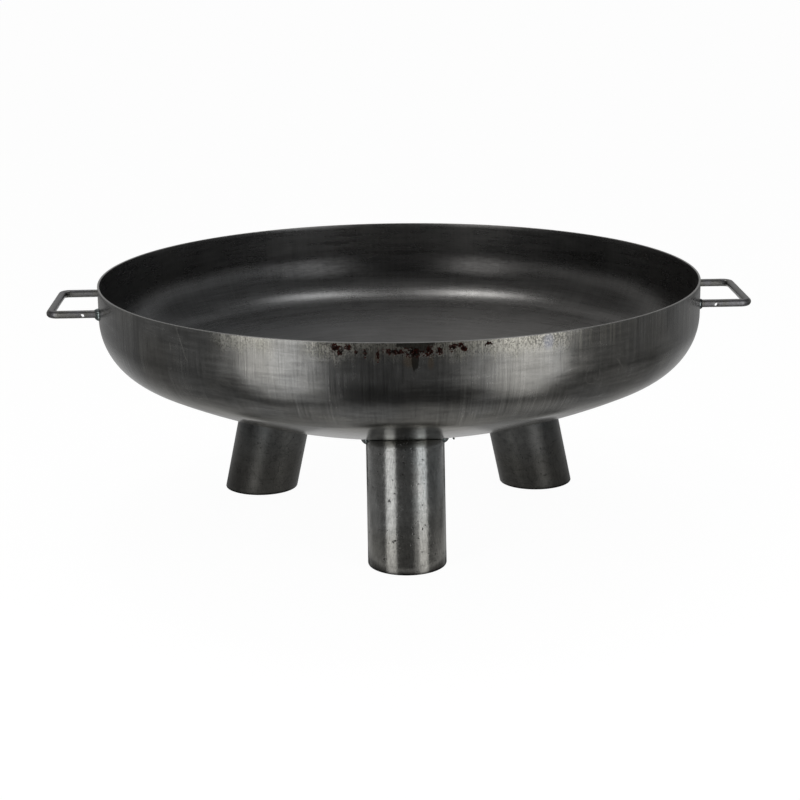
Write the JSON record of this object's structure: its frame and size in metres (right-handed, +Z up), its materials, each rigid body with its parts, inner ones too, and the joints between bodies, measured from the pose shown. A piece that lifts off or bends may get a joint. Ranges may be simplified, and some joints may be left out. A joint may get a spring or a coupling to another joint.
{
  "type": "steel fire bowl",
  "caption": "Open dished steel fire bowl on splayed tube legs, with a welded bar handle at each side; for a coal or wood fire",
  "frame": {"origin": "on the floor, under the middle of the bowl", "axes": "+Z up; the front leg points to -Y and the handles stand out along X"},
  "size_m": [0.707, 0.6096, 0.249],
  "materials": {
    "bowl_steel": "raw dark mill steel, glossy with fine brushed scratches and a few rust pits",
    "tube_steel": "raw tube with mottled dark mill scale, fairly glossy",
    "bar_steel": "raw hot rolled round bar, satin grey",
    "weld_steel": "rippled weld bead with dark heat tint beside it"
  },
  "bodies": {
    "root": {"bowl": "bowl_steel", "leg_front": "tube_steel", "leg_front_stitch_left": "weld_steel", "leg_front_stitch_rear": "weld_steel", "leg_front_stitch_right": "weld_steel", "leg_rear_left": "tube_steel", "leg_rear_left_stitch_left": "weld_steel", "leg_rear_left_stitch_rear": "weld_steel", "leg_rear_left_stitch_right": "weld_steel", "leg_rear_right": "tube_steel", "leg_rear_right_stitch_left": "weld_steel", "leg_rear_right_stitch_rear": "weld_steel", "leg_rear_right_stitch_right": "weld_steel", "handle_left": "bar_steel", "handle_weld_left_front": "weld_steel", "handle_weld_left_rear": "weld_steel", "handle_right": "bar_steel", "handle_weld_right_front": "weld_steel", "handle_weld_right_rear": "weld_steel"}
  },
  "joints": []
}
